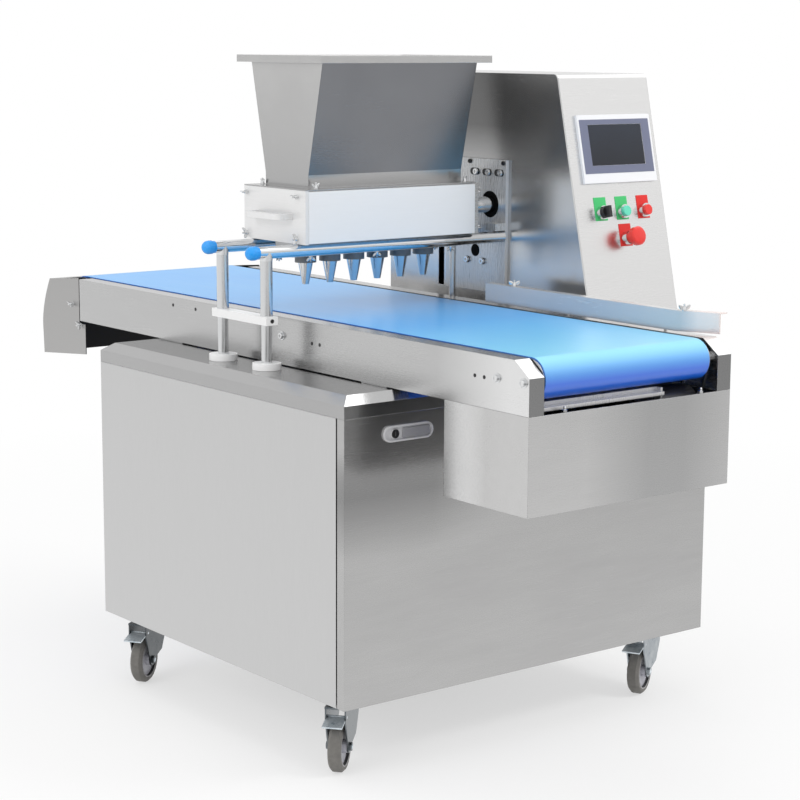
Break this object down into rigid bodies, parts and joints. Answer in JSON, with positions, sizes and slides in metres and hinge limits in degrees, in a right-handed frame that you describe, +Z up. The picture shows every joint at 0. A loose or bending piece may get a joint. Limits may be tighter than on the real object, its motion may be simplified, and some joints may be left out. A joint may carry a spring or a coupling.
{
  "type": "cake_depositor",
  "caption": "Stainless cake depositor on casters: belt conveyor over a cabinet, lifting rotary pump head with nozzles and hopper, leaning control tower",
  "frame": {"origin": "on the floor, under the middle of the box around the whole machine", "axes": "+Z up; -Y is the outfeed end with the switches; +X is the side of the control tower; Y runs along the belt"},
  "size_m": [0.9798, 1.751, 1.3718],
  "materials": {
    "brushed_steel": "grained stainless sheet, the grain along each panel",
    "polished_steel": "turned and ground stainless steel, bright",
    "zinc": "bluish zinc plate",
    "blue_belt": "satin food belt, light blue",
    "panel_plastic": "white panel bezel with a dark screen",
    "black_plastic": "moulded",
    "black_paint": "enamel on cast motor housings",
    "green_plastic": "moulded push button",
    "red_plastic": "moulded push button",
    "caster_rubber": "grey tread on a pale hub"
  },
  "bodies": {
    "root": {"base_frame": "brushed_steel", "cabinet_shell": "brushed_steel", "top_lid": "brushed_steel", "control_tray": "zinc", "rail_left": "brushed_steel", "rail_right": "brushed_steel", "bed_plate": "brushed_steel", "conveyor_belt": "blue_belt", "motor_bracket": "zinc", "drive_box": "brushed_steel", "end_guard": "brushed_steel", "chain_guard": "brushed_steel", "belt_gearmotor": "black_paint", "drive_chain": "polished_steel", "tower_shell": "brushed_steel", "tower_side_plate": "brushed_steel", "touch_panel": "panel_plastic", "switch_block": "black_plastic", "post_front": "polished_steel", "post_back": "polished_steel", "lift_unit": "polished_steel"},
    "head": {"carriage_plate": "brushed_steel", "slide_rod_front": "polished_steel", "slide_rod_back": "polished_steel", "post_yoke": "polished_steel", "pump_housing": "brushed_steel", "pump_front_cover": "brushed_steel", "end_cover": "brushed_steel", "nozzle_bar": "brushed_steel", "nozzle_1": "polished_steel", "nozzle_2": "polished_steel", "nozzle_3": "polished_steel", "nozzle_4": "polished_steel", "nozzle_5": "polished_steel", "nozzle_6": "polished_steel", "hopper": "brushed_steel", "feed_gearmotor": "black_paint"},
    "rotor_drive": {"rotor_drive": "polished_steel"},
    "rotor_driven": {"rotor_driven": "polished_steel"},
    "drive_roller": {"drive_roller": "polished_steel"},
    "idler_roller": {"idler_roller": "polished_steel"},
    "front_panel": {"front_panel": "brushed_steel", "latch_housing": "polished_steel"},
    "latch_lever": {"latch_lever": "polished_steel"},
    "selector_knob": {"selector_knob": "black_plastic"},
    "green_button": {"green_button": "green_plastic"},
    "red_button": {"red_button": "red_plastic"},
    "estop_button": {"estop_button": "red_plastic"},
    "caster_fl_fork": {"caster_fl_fork": "zinc"},
    "caster_fl_wheel": {"caster_fl_wheel": "caster_rubber"},
    "caster_fl_pedal": {"caster_fl_pedal": "polished_steel"},
    "caster_fr_fork": {"caster_fr_fork": "zinc"},
    "caster_fr_wheel": {"caster_fr_wheel": "caster_rubber"},
    "caster_fr_pedal": {"caster_fr_pedal": "polished_steel"},
    "caster_bl_fork": {"caster_bl_fork": "zinc"},
    "caster_bl_wheel": {"caster_bl_wheel": "caster_rubber"},
    "caster_bl_pedal": {"caster_bl_pedal": "polished_steel"},
    "caster_br_fork": {"caster_br_fork": "zinc"},
    "caster_br_wheel": {"caster_br_wheel": "caster_rubber"},
    "caster_br_pedal": {"caster_br_pedal": "polished_steel"}
  },
  "joints": [
    {"name": "head_lift", "type": "slide", "parent": "root", "child": "head", "axis": [0, 0, 1], "range_m": [-0.03, 0.02]},
    {"name": "rotor_drive_spin", "type": "hinge", "parent": "head", "child": "rotor_drive", "pos_m": [-0.097, -0.1045, 1.05325], "axis": [1, 0, 0], "continuous": true},
    {"name": "rotor_driven_spin", "type": "hinge", "parent": "head", "child": "rotor_driven", "pos_m": [-0.097, -0.0325, 1.05325], "axis": [1, 0, 0], "continuous": true},
    {"name": "drive_roller_spin", "type": "hinge", "parent": "root", "child": "drive_roller", "pos_m": [-0.096, -0.835, 0.8155], "axis": [1, 0, 0], "continuous": true},
    {"name": "idler_roller_spin", "type": "hinge", "parent": "root", "child": "idler_roller", "pos_m": [-0.096, 0.7405, 0.8155], "axis": [1, 0, 0], "continuous": true},
    {"name": "front_panel_tilt", "type": "hinge", "parent": "root", "child": "front_panel", "pos_m": [0, -0.5025, 0.163], "axis": [1, 0, 0], "range_deg": [0, 10]},
    {"name": "latch_lever_pull", "type": "hinge", "parent": "front_panel", "child": "latch_lever", "pos_m": [-0.2815, -0.5143, 0.6745], "axis": [0, 0, 1], "range_deg": [0, 20]},
    {"name": "selector_turn", "type": "hinge", "parent": "root", "child": "selector_knob", "pos_m": [0.2948, -0.36834, 1.04784], "axis": [0, -0.9753, 0.2211], "range_deg": [-45, 45]},
    {"name": "green_push", "type": "slide", "parent": "root", "child": "green_button", "axis": [0, 0.9753, -0.2211], "range_m": [0, 0.004], "stiffness_N_per_m": 300},
    {"name": "red_push", "type": "slide", "parent": "root", "child": "red_button", "axis": [0, 0.9753, -0.2211], "range_m": [0, 0.004], "stiffness_N_per_m": 300},
    {"name": "estop_push", "type": "slide", "parent": "root", "child": "estop_button", "axis": [0, 0.9753, -0.2211], "range_m": [0, 0.005]},
    {"name": "caster_fl_swivel", "type": "hinge", "parent": "root", "child": "caster_fl_fork", "pos_m": [-0.409, -0.4105, 0.13], "axis": [0, 0, 1], "continuous": true},
    {"name": "caster_fl_roll", "type": "hinge", "parent": "caster_fl_fork", "child": "caster_fl_wheel", "pos_m": [-0.42585, -0.42464, 0.051], "axis": [0.6428, -0.766, 0], "continuous": true},
    {"name": "caster_fl_brake", "type": "hinge", "parent": "caster_fl_fork", "child": "caster_fl_pedal", "pos_m": [-0.44271, -0.43878, 0.1168], "axis": [0.6428, -0.766, 0], "range_deg": [0, 12]},
    {"name": "caster_fr_swivel", "type": "hinge", "parent": "root", "child": "caster_fr_fork", "pos_m": [0.409, -0.4105, 0.13], "axis": [0, 0, 1], "continuous": true},
    {"name": "caster_fr_roll", "type": "hinge", "parent": "caster_fr_fork", "child": "caster_fr_wheel", "pos_m": [0.3894, -0.42049, 0.051], "axis": [0.454, -0.891, 0], "continuous": true},
    {"name": "caster_fr_brake", "type": "hinge", "parent": "caster_fr_fork", "child": "caster_fr_pedal", "pos_m": [0.3698, -0.43048, 0.1168], "axis": [0.454, -0.891, 0], "range_deg": [0, 12]},
    {"name": "caster_bl_swivel", "type": "hinge", "parent": "root", "child": "caster_bl_fork", "pos_m": [-0.409, 0.3155, 0.13], "axis": [0, 0, 1], "continuous": true},
    {"name": "caster_bl_roll", "type": "hinge", "parent": "caster_bl_fork", "child": "caster_bl_wheel", "pos_m": [-0.42691, 0.30272, 0.051], "axis": [0.5807, -0.8141, 0], "continuous": true},
    {"name": "caster_bl_brake", "type": "hinge", "parent": "caster_bl_fork", "child": "caster_bl_pedal", "pos_m": [-0.44482, 0.28995, 0.1168], "axis": [0.5807, -0.8141, 0], "range_deg": [0, 12]},
    {"name": "caster_br_swivel", "type": "hinge", "parent": "root", "child": "caster_br_fork", "pos_m": [0.409, 0.3155, 0.13], "axis": [0, 0, 1], "continuous": true},
    {"name": "caster_br_roll", "type": "hinge", "parent": "caster_br_fork", "child": "caster_br_wheel", "pos_m": [0.42691, 0.30272, 0.051], "axis": [0.5807, 0.8141, 0], "continuous": true},
    {"name": "caster_br_brake", "type": "hinge", "parent": "caster_br_fork", "child": "caster_br_pedal", "pos_m": [0.44482, 0.28995, 0.1168], "axis": [0.5807, 0.8141, 0], "range_deg": [0, 12]}
  ],
  "couplings": [
    {"joint": "rotor_driven_spin", "follows": "rotor_drive_spin", "ratio": -1},
    {"joint": "idler_roller_spin", "follows": "drive_roller_spin", "ratio": 1}
  ]
}
